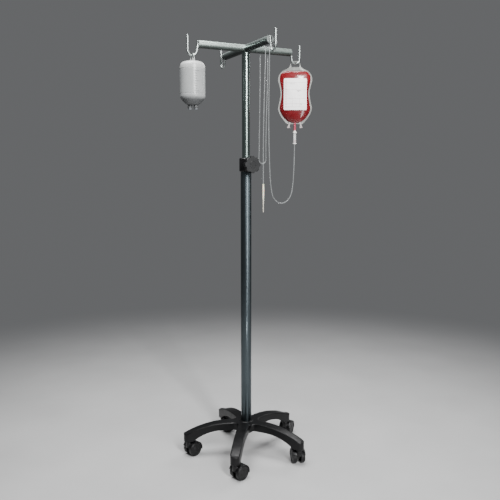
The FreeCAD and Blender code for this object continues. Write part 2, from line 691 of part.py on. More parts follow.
def film_plate():
    """Flat welded film with a hanging tab and a slot for the hook."""
    tab_top = slot_gap + slot_margin
    right = [V(wide, 0, z) for z, wide in film_outline]
    left = [V(-p.x, 0, p.z) for p in reversed(right)]
    sides = []
    for points in (right, left):
        curve = Part.BSplineCurve()
        curve.interpolate(points)
        sides.append(curve.toShape())
    corner = slot_width / 2 + slot_margin / 2
    head = [V(-right[0].x, 0, right[0].z), V(-corner, 0, -4), V(-corner + 5, 0, tab_top),
            V(corner - 5, 0, tab_top), V(corner, 0, -4), right[0]]
    crown = [Part.LineSegment(a, b).toShape() for a, b in zip(head, head[1:])]
    foot = Part.LineSegment(right[-1], left[0]).toShape()
    outline = Part.Face(Part.Wire([sides[0], foot, sides[1]] + crown))
    plate = outline.extrude(V(0, film_thickness, 0))
    plate.translate(V(0, -film_thickness / 2, 0))
    half, c = slot_width / 2, slot_corner
    slot = box((-half, -5, slot_gap - slot_height), (half, 5, slot_gap))
    slot = slot.makeFillet(c, [e for e in slot.Edges if abs(e.CenterOfMass.y) < 1e-6])
    return plate.cut(slot)


def blood_bag():
    """Film, blood, label and the two sealed ports, hung from the right hook and turned to face front left."""
    blood = pouch(0, pouch_sections)
    skin = [(pouch_sections[0][0] - pouch_wall, *pouch_sections[0][1:])] + pouch_sections[1:-1] + \
        [(pouch_sections[-1][0] + pouch_wall, *pouch_sections[-1][1:])]
    film = film_plate().fuse(pouch(pouch_wall, skin)).cut(blood)
    label_room = box((-label_width / 2, -60, label_bottom),
                     (label_width / 2, -3, label_bottom + label_height))
    over = pouch(pouch_wall + 0.05 + label_thickness, skin)
    label = over.cut(pouch(pouch_wall + 0.05, skin)).common(label_room)
    ports = []
    for x in bag_port_sides:
        ports.append(rod(bag_port_radius, (x * 0.9, 0, bag_port_bottom + bag_port_length),
                         (x, 0, bag_port_bottom)))
    spike_port = rod(spike_port_radius, (0, 0, spike_port_bottom), (0, 0, spike_port_top))
    for port in ports + [spike_port]:
        film = film.cut(port)
    bore = rod(spike_radius, (0, 0, spike_port_bottom - 1), (0, 0, spike_port_top - 3))
    seat = V(hook_reach, 0, hook_seat)
    ports = [p.cut(pouch(pouch_wall, skin)) for p in ports]
    pieces = {"bag_film": film.removeSplitter(), "bag_blood": blood, "bag_label": label.Solids[0],
              "bag_ports": Part.makeCompound(ports), "bag_spike_port": spike_port.cut(bore)}
    for name, piece in pieces.items():
        nodes[name] = placed(piece, bag_yaw, seat)


def giving_set():
    """Spike, drip chamber and its caps, below the bag's middle port."""
    x, seat = hook_reach, hook_seat
    top = seat + spike_bottom
    bottom = top - chamber_length
    upper, lower = top - chamber_cap_height, bottom + chamber_cap_height
    spike = rod(spike_radius, (x, 0, top), (x, 0, seat + spike_port_top - 3))
    spike = spike.fuse(rod(spike_port_radius, (x, 0, top), (x, 0, top + 4)))
    nodes["spike"] = spike.removeSplitter()
    nodes["drip_chamber"] = pipe(chamber_radius, chamber_radius - chamber_wall, (x, 0, lower), (x, 0, upper))
    caps = [rod(chamber_cap_radius, (x, 0, upper), (x, 0, top)),
            rod(chamber_cap_radius, (x, 0, bottom), (x, 0, lower))]
    nodes["drip_chamber_caps"] = Part.makeCompound(caps)


# ---------------------------------------------------------------- tubing

def route_path(points):
    """Straight runs joined by tangent arcs, each arc as large as its two runs allow, and the arcs' radii."""
    edges, radii = [], []
    here = points[0]
    for before, corner, after in zip(points, points[1:], points[2:]):
        into, out = (corner - before), (after - corner)
        shorter = min(into.Length, out.Length)
        turn = into.getAngle(out)
        reach = 0.45 * shorter
        radius = reach / math.tan(turn / 2)
        into.normalize()
        out.normalize()
        start, end = corner - into * reach, corner + out * reach
        inward = (out - into).normalize()
        middle = corner + inward * (math.hypot(radius, reach) - radius)
        edges.append(Part.LineSegment(here, start).toShape())
        edges.append(Part.Arc(start, middle, end).toShape())
        radii.append(radius)
        here = end
    edges.append(Part.LineSegment(here, points[-1]).toShape())
    return Part.Wire(edges), radii


def tubing():
    """Clear tube of the giving set, parted where it hangs between the bag and the arm."""
    points = [V(*p) for p in tubing_route]
    path, radii = route_path(points)
    section = Part.Wire(Part.Circle(points[0], points[1] - points[0], tubing_radius).toShape())
    tube = path.makePipeShell([section], True, False)
    print("tubing arc radii", [round(r, 1) for r in radii])
    runs = [(b - a).Length for a, b in zip(points, points[1:])]
    print("tubing runs", [round(r, 1) for r in runs])
    print("tubing length", round(path.Length, 1), "volume over section times length",
          round(tube.Volume / (math.pi * tubing_radius ** 2 * path.Length), 5))
    low, high = min(p.z for p in points) - 20, max(p.z for p in points) + 20
    bag_side = box((tubing_split, -60, low), (hook_reach + 60, 60, high))
    arm_side = box((0, -60, low), (tubing_split, 60, high))
    nodes["tubing_bag_side"] = tube.common(bag_side).Solids[0]
    nodes["tubing_arm_side"] = tube.common(arm_side).Solids[0]


def needle_end():
    """Latex flash bulb and the sheathed needle that hang from the end of the tube."""
    x, y, top = tubing_route[-1]
    bottom = top - bulb_length
    bulb = turned(face((0, 0), (sheath_top_radius, 0), (bulb_radius, bulb_shoulder),
                       (bulb_radius, bulb_length - bulb_shoulder), (sheath_top_radius, bulb_length),
                       (0, bulb_length)))
    hub = sheath_length - sheath_hub_length
    sheath = turned(face((0, 0), (sheath_tip_radius, 0), (sheath_top_radius * 0.8, hub - 1),
                         (sheath_top_radius, hub),
                         (sheath_top_radius, sheath_length), (0, sheath_length)))
    nodes["flash_bulb"] = placed(bulb, 0, V(x, y, bottom))
    nodes["needle_sheath"] = placed(sheath, 0, V(x, y, bottom - sheath_length))


def main():
    nodes["star_base"] = star_base()
    base_fastening()
    casters()
    pole()
    collar()
    knob()
    arms()
    bottle()
    blood_bag()
    giving_set()
    tubing()
    needle_end()
    os.makedirs("parts", exist_ok=True)
    for name, shape in nodes.items():
        shape.exportStep(f"parts/{name}.step")
        volume = shape.Volume / 1000
        print(f"{name:24} solids {len(shape.Solids)}  valid {shape.isValid()}  volume {volume:10.3f} cm3")
    print(len(nodes), "nodes")


main()
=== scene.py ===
"""Looks of the drip stand: materials for the CAD parts, and new meshes for bottle, bag and giving set.

Metres, in the row frame: Z up, origin on the floor under the pole, arms along X and Y.
"""
import json
import math

import bmesh
import bpy
import numpy as np
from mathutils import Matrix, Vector, noise


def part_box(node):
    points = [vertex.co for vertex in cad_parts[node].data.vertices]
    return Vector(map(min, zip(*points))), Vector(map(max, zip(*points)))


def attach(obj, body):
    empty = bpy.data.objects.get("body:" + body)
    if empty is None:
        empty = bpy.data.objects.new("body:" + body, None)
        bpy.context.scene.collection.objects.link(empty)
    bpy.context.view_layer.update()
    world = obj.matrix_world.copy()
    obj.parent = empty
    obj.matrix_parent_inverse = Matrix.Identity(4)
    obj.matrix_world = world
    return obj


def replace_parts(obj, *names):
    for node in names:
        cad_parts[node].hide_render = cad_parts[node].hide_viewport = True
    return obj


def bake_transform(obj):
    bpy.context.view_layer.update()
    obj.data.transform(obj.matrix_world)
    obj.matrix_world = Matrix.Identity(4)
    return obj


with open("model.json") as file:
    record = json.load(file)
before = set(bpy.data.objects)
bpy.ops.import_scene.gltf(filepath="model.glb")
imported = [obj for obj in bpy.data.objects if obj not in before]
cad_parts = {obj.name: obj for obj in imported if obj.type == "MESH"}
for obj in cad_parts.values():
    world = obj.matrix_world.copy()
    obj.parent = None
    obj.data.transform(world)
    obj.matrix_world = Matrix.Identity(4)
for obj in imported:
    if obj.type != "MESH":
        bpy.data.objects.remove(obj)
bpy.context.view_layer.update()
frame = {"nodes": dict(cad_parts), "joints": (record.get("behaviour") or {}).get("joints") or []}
nodes = frame["nodes"]
joints = {joint["name"]: joint for joint in frame["joints"]}
UP = Vector((0, 0, 1))
MM = 0.001
CASTERS = range(1, 6)
HEADING = math.radians(-26.3)       # the camera's turn about Z; the bag and the bottle face it too


def box_middle(node):
    """Centre of a CAD node's box."""
    low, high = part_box(node)
    return (low + high) / 2


# ---------------------------------------------------------------- materials

class Material:
    """A Principled material whose colour, roughness and bump come from textures in object coordinates."""

    def __init__(self, name, **sockets):
        self.material = bpy.data.materials.new(name)
        self.material.use_nodes = True
        self.tree = self.material.node_tree
        self.shader = self.tree.nodes["Principled BSDF"]
        for socket, value in sockets.items():
            self.shader.inputs[socket.replace("_", " ")].default_value = value
        self.place = self.node("ShaderNodeTexCoord").outputs["Object"]

    def node(self, kind, **settings):
        """New node of a kind, with its settings."""
        made = self.tree.nodes.new(kind)
        for key, value in settings.items():
            setattr(made, key, value)
        return made

    def put(self, value, socket):
        """Links an output to a socket, or sets a number on it."""
        if isinstance(value, bpy.types.NodeSocket):
            self.tree.links.new(value, socket)
        else:
            socket.default_value = value

    def math(self, operation, a, b=0.0):
        """Output of a sum on two outputs or numbers."""
        made = self.node("ShaderNodeMath", operation=operation)
        self.put(a, made.inputs[0])
        self.put(b, made.inputs[1])
        return made.outputs[0]

    def split(self, vector):
        """The parts of a vector, by axis letter."""
        made = self.node("ShaderNodeSeparateXYZ")
        self.put(vector, made.inputs[0])
        return made.outputs

    def facing_up(self):
        """How far the surface faces up, from -1 to 1."""
        return self.split(self.node("ShaderNodeNewGeometry").outputs["Normal"])["Z"]

    def noise(self, scale, stretch=(1, 1, 1), detail=3.0):
        """Noise texture, from about 0.3 to 0.7. A larger stretch makes it finer along that axis."""
        mapping = self.node("ShaderNodeMapping")
        mapping.inputs["Scale"].default_value = stretch
        self.put(self.place, mapping.inputs["Vector"])
        made = self.node("ShaderNodeTexNoise")
        made.inputs["Scale"].default_value = scale
        made.inputs["Detail"].default_value = detail
        self.put(mapping.outputs[0], made.inputs["Vector"])
        return made.outputs["Fac"]

    def spread(self, value, low, high, start=0.3, stop=0.7):
        """Maps start..stop onto low..high."""
        made = self.node("ShaderNodeMapRange")
        for name, number in (("From Min", start), ("From Max", stop), ("To Min", low), ("To Max", high)):
            made.inputs[name].default_value = number
        self.put(value, made.inputs["Value"])
        return made.outputs[0]

    def mix(self, share, first, second):
        """Colour between two colours."""
        made = self.node("ShaderNodeMix", data_type="RGBA")
        self.put(share, made.inputs["Factor"])
        for value, socket in ((first, made.inputs["A"]), (second, made.inputs["B"])):
            if isinstance(value, bpy.types.NodeSocket):
                self.tree.links.new(value, socket)
            else:
                socket.default_value = (*value, 1)
        return made.outputs["Result"]

    def colour(self, value):
        """Sets or links the base colour."""
        self.put(value, self.shader.inputs["Base Color"])

    def rough(self, value):
        """Sets or links the roughness."""
        self.put(value, self.shader.inputs["Roughness"])

    def bump(self, height, distance, strength=1.0):
        """Adds a bump on top of any that is already there."""
        made = self.node("ShaderNodeBump")
        made.inputs["Distance"].default_value = distance
        made.inputs["Strength"].default_value = strength
        self.put(height, made.inputs["Height"])
        normal = self.shader.inputs["Normal"]
        if normal.is_linked:
            self.tree.links.new(normal.links[0].from_socket, made.inputs["Normal"])
        self.tree.links.new(made.outputs[0], normal)


def moulded(name, dark, light, low, high, grain=900, depth=0.00004, dust=0.0, edge=0.0, **sockets):
    """Moulded plastic: cloudy colour and gloss, a fine grain, rounded edges, and dust on what faces up."""
    m = Material(name, **sockets)
    if edge:
        rounded = m.node("ShaderNodeBevel", samples=8)
        rounded.inputs["Radius"].default_value = edge
        m.put(rounded.outputs[0], m.shader.inputs["Normal"])
    colour = m.mix(m.spread(m.noise(9, detail=5), 0, 1), dark, light)
    if dust:
        level_places = m.spread(m.facing_up(), 0, dust, 0.5, 1)
        patches = m.spread(m.noise(60), 0.2, 1)
        colour = m.mix(m.math("MULTIPLY", level_places, patches), colour, (0.25, 0.25, 0.24))
    m.colour(colour)
    scuffs = m.noise(45, stretch=(1, 1, 3), detail=6)
    m.rough(m.spread(scuffs, low, high))
    m.bump(m.noise(grain, detail=2), depth)
    return m.material


def faced(name, rim, face, axis):
    """Black plastic with a paler face across the axis."""
    m = Material(name, Specular_IOR_Level=0.3)
    turned = m.node("ShaderNodeVectorMath", operation="DOT_PRODUCT")
    m.put(m.node("ShaderNodeTexCoord").outputs["Normal"], turned.inputs[0])
    turned.inputs[1].default_value = axis
    cloud = m.spread(m.noise(60, detail=5), 0, 1)
    flat = m.spread(turned.outputs["Value"], 0, 1, 0.90, 0.97)
    paler = m.mix(cloud, face, tuple(1.35 * c for c in face))
    m.colour(m.mix(flat, m.mix(cloud, rim, tuple(2 * c for c in rim)), paler))
    m.rough(m.spread(m.noise(45, detail=6), 0.35, 0.5))
    m.bump(m.noise(1500, detail=2), 0.00004)
    return m.material


def brushed(name, colour, axis, low, high, scratch=0.000004, tint=0.80, grain=260, below=1.0):
    """Metal with fine lines along an axis and stains. Below is the share of the colour on the underside,
    which is painted shade.
    """
    m = Material(name, Metallic=1.0)
    along = 0.02        # the lines' fineness along the axis, as a share of that across it
    stretch = tuple(along if k == axis else 1.0 for k in range(3))
    lines = m.noise(grain, stretch=stretch, detail=3)
    stains = m.noise(9, detail=5)
    worn = tuple(tint * c for c in colour)
    tone = m.mix(m.math("MULTIPLY", m.spread(stains, 0, 1), m.spread(lines, 0.3, 1)), colour, worn)
    # painted shade: the colour darkens where the surface faces down
    if below < 1:
        tone = m.mix(m.spread(m.facing_up(), 1, 0, -0.75, 0.35), tone, tuple(below * c for c in colour))
    m.colour(tone)
    m.rough(m.math("ADD", m.spread(lines, low, high), m.spread(stains, -0.03, 0.05)))
    m.bump(lines, scratch, 0.5)
    return m.material


def label_paper(width, height):
    """White label with generic ruled lines and blocks, laid out in millimetres from its lower left corner."""
    m = Material("label_paper")
    uv = m.split(m.node("ShaderNodeTexCoord").outputs["UV"])
    across = m.math("MULTIPLY", uv["X"], width)
    up = m.math("MULTIPLY", uv["Y"], height)

    def between(value, low, high):
        """One between two numbers, else nothing."""
        return m.math("MULTIPLY", m.math("GREATER_THAN", value, low), m.math("LESS_THAN", value, high))

    def block(left, right, bottom, top):
        """One inside a rectangle, else nothing."""
        return m.math("MULTIPLY", between(across, left, right), between(up, bottom, top))

    def printed(blocks, strength, ink, below):
        """Blocks of one ink over the colour below."""
        total = blocks[0]
        for one in blocks[1:]:
            total = m.math("MAXIMUM", total, one)
        return m.mix(m.math("MULTIPLY", total, strength), below, ink)

    margin, line, upright = 4, 1.1, 0.8
    rules = [block(margin, width - margin, level, level + line) for level in (10, 21, 40, 70, 95)]
    rules += [block(left, left + upright, 10, 40) for left in (30, 56)]
    marks = [block(*sides) for sides in ((46, 60, 66.5, 68.5), (49, 55, 63.5, 65.5), (57, 63, 20, 22.5),
                                         (60, 66, 17.5, 19), (52, 60, 51, 52), (20, 40, 91, 92))]
    pink = [block(5, 10, 8 + 9 * k, 14 + 9 * k) for k in range(11)]
    paper = m.mix(m.spread(m.noise(220, detail=5), 0, 1), (0.90, 0.88, 0.88), (0.97, 0.95, 0.95))
    inked = printed(rules, 0.75, (0.36, 0.28, 0.30), paper)
    inked = printed(marks, 0.8, (0.12, 0.11, 0.13), inked)
    m.colour(printed(pink, 0.5, (0.85, 0.28, 0.30), inked))
    m.rough(m.spread(m.noise(400), 0.42, 0.6))
    m.bump(m.noise(700, detail=5), 0.00003)
    return m.material


def clear(name, tone, alpha, low, high, attribute=None):
    """Clear plastic. Alpha follows a mesh attribute, if one is named, between the two values of alpha."""
    m = Material(name)
    m.colour(m.mix(m.spread(m.noise(25), 0, 1), tone, tuple(0.85 * c for c in tone)))
    m.rough(m.spread(m.noise(120), low, high))
    if attribute:
        share = m.node("ShaderNodeAttribute", attribute_name=attribute).outputs["Fac"]
        cloud = m.spread(m.noise(90, detail=4), 0.85, 1.15)
        m.put(m.math("MULTIPLY", m.spread(share, alpha[0], alpha[1], 0, 1), cloud), m.shader.inputs["Alpha"])
    else:
        m.put(m.spread(m.noise(60, detail=4), alpha[0], alpha[1]), m.shader.inputs["Alpha"])
    m.bump(m.noise(300), 0.00006, 0.5)
    return m.material


def blood_material(low, high):
    """Glossy dark red, darker towards the foot of the bag, between two heights."""
    m = Material("blood", Coat_Weight=0.8, Coat_Roughness=0.12, Specular_IOR_Level=0.3)
    cloudy = m.mix(m.spread(m.noise(22, detail=4), 0, 1), (0.17, 0.0, 0.004), (0.12, 0.0, 0.003))
    # darker towards the foot of the bag, by height
    darker_towards_foot = m.spread(m.split(m.place)["Z"], 0.75, 0.0, low, high)
    m.colour(m.mix(m.math("MULTIPLY", darker_towards_foot, m.spread(m.noise(12), 0.4, 1)), cloudy, (0.055, 0.0, 0.001)))
    m.rough(m.spread(m.noise(60), 0.22, 0.36))
    m.bump(m.noise(90, detail=2), 0.0003, 0.3)
    return m.material


def bottle_material(foot, dome, level):
    """Milky plastic, darkened below the foot as painted shade, milky above the dome and a little paler above
    the fluid's level.
    """
    m = Material("bottle_plastic", IOR=1.49)
    height = m.split(m.place)["Z"]
    blur = 0.002
    air = m.spread(height, 0, 1, level - blur, level + blur)
    milky = m.mix(m.spread(m.noise(14), 0, 1), (0.27, 0.28, 0.285), (0.33, 0.34, 0.335))
    milky = m.mix(air, milky, (0.38, 0.39, 0.385))
    shade = m.math("ADD", height, m.spread(m.noise(40), -0.001, 0.001))
    # painted shade: the dome that hangs down is darkened from the foot up to the dome's height
    m.colour(m.mix(m.spread(shade, 1, 0, foot, dome), milky, (0.075, 0.078, 0.08)))
    m.rough(m.spread(m.noise(70, detail=5), 0.22, 0.38))
    m.bump(m.noise(260, detail=3), 0.00012, 0.4)
    return m.material


# ---------------------------------------------------------------- mesh helpers

def new_piece(name, verts, faces, body, material, slot, sharp=40):
    """Mesh object of a new piece that rides on a body, or on none if body is None."""
    mesh = bpy.data.meshes.new(name)
    mesh.from_pydata([tuple(v) for v in verts], [], faces)
    mesh.validate()
    work = bmesh.new()
    work.from_mesh(mesh)
    bmesh.ops.recalc_face_normals(work, faces=work.faces)
    work.to_mesh(mesh)
    work.free()
    mesh.shade_smooth()
    mesh.set_sharp_from_angle(angle=math.radians(sharp))
    piece = bpy.data.objects.new(name, mesh)
    bpy.context.scene.collection.objects.link(piece)
    piece.data.materials.append(material)
    if body:
        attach(piece, body)
    return piece


def strip(rings, closed_ends=True):
    """Faces between rings of vertex numbers, with a face on the first and the last ring."""
    faces = []
    for a, b in zip(rings, rings[1:]):
        n = len(a)
        faces += [(a[k], a[(k + 1) % n], b[(k + 1) % n], b[k]) for k in range(n)]
    if closed_ends:
        faces += [tuple(reversed(rings[0])), tuple(rings[-1])]
    return faces


def round_profile(profile, radius, steps=4):
    """Profile with each inner corner replaced by a curve that starts up to radius away from it."""
    points = [Vector(p) for p in profile]
    made = [points[0]]
    for before, corner, after in zip(points, points[1:], points[2:]):
        r1 = min(radius, (before - corner).length * 0.45)
        r2 = min(radius, (after - corner).length * 0.45)
        start = corner + (before - corner).normalized() * r1
        end = corner + (after - corner).normalized() * r2
        for k in range(steps + 1):
            t = k / steps
            made.append(start.lerp(corner, t).lerp(corner.lerp(end, t), t))
    return made + [points[-1]]


def lathe(profile, origin, direction=UP, segments=48):
    """Vertices and faces of a solid of revolution. The profile holds radius and height, from end to end."""
    least = 1e-5        # a ring's smallest radius
    turn = direction.to_track_quat("Z", "Y").to_matrix()
    verts, rings = [], []
    for radius, height in profile:
        ring = []
        for k in range(segments):
            angle = 2 * math.pi * k / segments
            wide = max(radius, least)
            local = Vector((wide * math.cos(angle), wide * math.sin(angle), height))
            ring.append(len(verts))
            verts.append(origin + turn @ local)
        rings.append(ring)
    return verts, strip(rings)


def joined(*shapes):
    """One list of vertices and one of faces, from several pairs."""
    verts, faces = [], []
    for more_verts, more_faces in shapes:
        shift = len(verts)
        verts += more_verts
        faces += [tuple(i + shift for i in face) for face in more_faces]
    return verts, faces


def swept(path, radius, segments=12):
    """Vertices and rings of a tube along points, with no twist."""
    path = [Vector(p) for p in path]
    verts, rings = [], []
    side = None
    for k, point in enumerate(path):
        ahead = (path[min(k + 1, len(path) - 1)] - path[max(k - 1, 0)]).normalized()
        side = (side - side.dot(ahead) * ahead).normalized() if side else ahead.orthogonal().normalized()
        other = ahead.cross(side)
        ring = []
        for j in range(segments):
            angle = 2 * math.pi * j / segments
            ring.append(len(verts))
            verts.append(point + radius * (math.cos(angle) * side + math.sin(angle) * other))
        rings.append(ring)
    return verts, rings


def smooth_line(points, steps=12):
    """Points of a Catmull-Rom curve through the given points."""
    p = [np.array(q, float) for q in points]
    p = [2 * p[0] - p[1]] + p + [2 * p[-1] - p[-2]]
    made = []
    for a, b, c, d in zip(p, p[1:], p[2:], p[3:]):
        for k in range(steps):
            t = k / steps
            made.append(0.5 * (2 * b + (c - a) * t + (2 * a - 5 * b + 4 * c - d) * t ** 2
                               + (3 * b - a - 3 * c + d) * t ** 3))
    made.append(p[-2])
    return np.array(made)


def soften(node, width=0.0006):
    """Small round on a CAD node's sharp edges."""
    piece = nodes[node]
    weld = piece.modifiers.new("weld", "WELD")
    weld.merge_threshold = 1e-6
    bevel = piece.modifiers.new("round", "BEVEL")
    bevel.width = width
    bevel.segments = 2
    bevel.limit_method = "ANGLE"
    bevel.angle_limit = math.radians(35)
    bevel.harden_normals = True


def paint(material, *names):
    """Gives CAD nodes a material."""
    for name in names:
        data = nodes[name].data
        data.materials.clear()
        data.materials.append(material)


# ---------------------------------------------------------------- camera and tubing

CAMERA_PLACE = (-0.9577, -1.9696, 1.053)
CAMERA_TILT = math.radians(82.4)
CAMERA_LENS, CAMERA_SENSOR = 44.5, 36       # millimetres


def add_camera():
    """Camera at the fitted place, facing the pole."""
    data = bpy.data.cameras.new("camera")
    data.lens = CAMERA_LENS
    data.sensor_width = CAMERA_SENSOR
    camera = bpy.data.objects.new("camera", data)
    camera.location = CAMERA_PLACE
    camera.rotation_euler = (CAMERA_TILT, 0, HEADING)
    bpy.context.scene.collection.objects.link(camera)
    bpy.context.scene.camera = camera


TUBING_DIAMETER = 0.004
TUBING_BORE = 0.0028
# From the drip chamber down and up, over the right arm, down and up, over it again, and down to the bulb.
TUBING_ROUTE = [
    (0.196, 0, 1.136), (0.196, 0, 1.101), (0.195, 0.001, 1.043), (0.192, 0.002, 0.986), (0.185, 0.003, 0.951),
    (0.169, 0.004, 0.930), (0.146, 0.005, 0.922), (0.124, 0.003, 0.930), (0.107, -0.001, 0.948),
    (0.098, -0.006, 0.974), (0.091, -0.010, 1.016), (0.086, -0.014, 1.074), (0.082, -0.016, 1.160),
    (0.080, -0.018, 1.265), (0.081, -0.019, 1.362), (0.082, -0.0185, 1.432), (0.083, -0.0156, 1.4718),
    (0.094, 0.0156, 1.4718), (0.095, 0.019, 1.432), (0.094, 0.018, 1.362), (0.091, 0.018, 1.268),
    (0.089, 0.019, 1.180), (0.088, 0.018, 1.121), (0.0885, 0.018, 1.094), (0.088, 0.018, 1.073),
    (0.0745, 0.0185, 1.065), (0.0605, 0.0187, 1.0732), (0.0605, 0.018, 1.094), (0.0615, 0.0185, 1.121),
    (0.062, 0.018, 1.182), (0.064, 0.0185, 1.270), (0.065, 0.019, 1.363), (0.0645, 0.0185, 1.432),
    (0.065, 0.0156, 1.4718), (0.067, -0.0156, 1.4718), (0.0665, -0.019, 1.432), (0.064, -0.0185, 1.362),
    (0.0615, -0.018, 1.268), (0.060, -0.017, 1.176), (0.060, -0.016, 1.090), (0.061, -0.015, 1.032),
    (0.061, -0.015, 0.995)]


def route_line(points):
    """Points read from the smooth NURBS line of a route."""
    curve = bpy.data.curves.new("route", "CURVE")
    curve.dimensions = "3D"
    curve.resolution_u = 12
    spline = curve.splines.new("NURBS")
    spline.points.add(len(points) - 1)
    for point, co in zip(spline.points, points):
        point.co = (*co, 1)
    spline.order_u = 3
    spline.use_endpoint_u = True
    holder = bpy.data.objects.new("route", curve)
    bpy.context.scene.collection.objects.link(holder)
    bpy.context.view_layer.update()
    mesh = bpy.data.meshes.new_from_object(holder)
    line = [v.co.copy() for v in mesh.vertices]
    bpy.data.objects.remove(holder)
    return line


def add_tubing():
    """Clear tube with its bore, one piece on no body, in place of the tubing's bag side and arm side."""
    line = route_line(TUBING_ROUTE)
    verts, rings = swept(line, TUBING_DIAMETER / 2)
    inner, inner_rings = swept(line, TUBING_BORE / 2)
    shift = len(verts)
    inner_rings = [[i + shift for i in ring] for ring in inner_rings]
    faces = strip(rings, False) + [tuple(reversed(f)) for f in strip(inner_rings, False)]
    faces += strip([rings[0], inner_rings[0]], False) + strip([inner_rings[-1], rings[-1]], False)
    skin = clear("tubing_plastic", (0.40, 0.42, 0.42), (0.10, 0.18), 0.08, 0.2)
    tube = new_piece("giving_set_tubing", verts + inner, faces, None, skin, "tubing")
    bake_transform(tube)
    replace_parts(tube, "tubing_bag_side", "tubing_arm_side")
    bulb = add_bulb()
    sheath = add_sheath()


def add_bulb():
    """Latex flash bulb with a lip at each end."""
    low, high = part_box("flash_bulb")
    x, y = box_middle("flash_bulb").xy
    length, r = high.z - low.z, (high.x - low.x) / 2
    taper, shoulder = 0.007, 0.014
    profile = [(0, 0), (0.0024, 0), (0.0026, 0.0015), (0.0024, 0.003), (r * 0.93, taper), (r, shoulder),
               (r, length - shoulder), (r * 0.93, length - taper), (0.0025, length - 0.003),
               (0.0027, length - 0.0015), (0.0024, length), (0, length)]
    verts, faces = lathe(round_profile(profile, 0.002), Vector((x, y, low.z)))
    latex = moulded("latex", (0.66, 0.60, 0.42), (0.80, 0.75, 0.58), 0.35, 0.5, grain=500,
                    Subsurface_Weight=0.2, Subsurface_Scale=0.002)
    piece = new_piece("latex_bulb", verts, faces, "mast", latex, "latex")
    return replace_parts(piece, "flash_bulb")


def add_sheath():
    """Needle sheath with a ribbed hub."""
    low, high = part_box("needle_sheath")
    x, y = box_middle("needle_sheath").xy
    length, r = high.z - low.z, (high.x - low.x) / 2
    hub = length - 0.010
    profile = [(0, 0), (0.0010, 0), (0.0015, 0.0012), (r * 0.78, hub - 0.0015), (r, hub)]
    for k in range(4):
        z = hub + 0.0012 + 0.002 * k
        profile += [(r, z), (r * 0.86, z + 0.0003), (r * 0.86, z + 0.0010), (r, z + 0.0013)]
    profile += [(r, length - 0.0005), (r * 0.8, length), (0, length)]
    verts, faces = lathe(profile, Vector((x, y, low.z)), segments=32)
    plastic = clear("sheath_plastic", (0.80, 0.76, 0.66), (0.7, 0.85), 0.2, 0.35)
    piece = new_piece("needle_cover", verts, faces, "mast", plastic, "white_plastic")
    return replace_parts(piece, "needle_sheath")


# ---------------------------------------------------------------- blood bag

BAG_TOP = 0.0066                    # the tab's top above the hook's seat
POUCH_TOP, POUCH_FOOT = -0.0275, -0.211
# Outlines of the welded film and the filled pouch, from the top down: half width and height above the seat.
FILM_OUTLINE = [(0, BAG_TOP), (0.0095, BAG_TOP), (0.0135, 0.0050), (0.0163, 0.0005), (0.0178, -0.0055),
                (0.0205, -0.0125), (0.030, -0.020), (0.046, -0.0285), (0.0575, -0.042), (0.061, -0.059),
                (0.056, -0.080), (0.0518, -0.104), (0.055, -0.130), (0.0605, -0.159), (0.0535, -0.181),
                (0.039, -0.202), (0.029, -0.2125), (0.024, -0.214), (0, -0.214)]
POUCH_OUTLINE = [(0, POUCH_TOP), (0.024, POUCH_TOP), (0.038, -0.0290), (0.0485, -0.0345), (0.0540, -0.045),
                 (0.0552, -0.059), (0.0515, -0.080), (0.0475, -0.104), (0.0505, -0.131), (0.0555, -0.158),
                 (0.0500, -0.177), (0.0385, -0.1935), (0.0235, -0.206), (0.010, -0.2105),
                 (0, POUCH_FOOT)]
# Height above the seat and half thickness of the filled pouch.
POUCH_DEPTH = [(POUCH_FOOT, 0), (-0.2095, 0.0035), (-0.2050, 0.0072), (-0.195, 0.0112), (-0.178, 0.0150),
               (-0.159, 0.0170), (-0.131, 0.0175), (-0.104, 0.0168), (-0.078, 0.0152), (-0.059, 0.0128),
               (-0.043, 0.0092), (-0.035, 0.0066), (-0.0295, 0.0036), (POUCH_TOP, 0)]
POUCH_CURVE, POUCH_EDGE = 2.3, 0.55     # powers that round the pouch off towards its sides
BAG_CORE = np.array([0, -0.110])    # the middle that the rings of the film close in on
FILM_HALF = 0.0004                  # half the weld's thickness, and all of one skin's
SEAM_HALF = 0.00022                 # half the thickness in an embossed seam
LABEL_WIDTH, LABEL_HEIGHT = 0.082, 0.111
LABEL_LOW = -0.1655
PUCKERS, WAVES = 0.0066, 0.0007     # depth of the dents along the weld and over the face


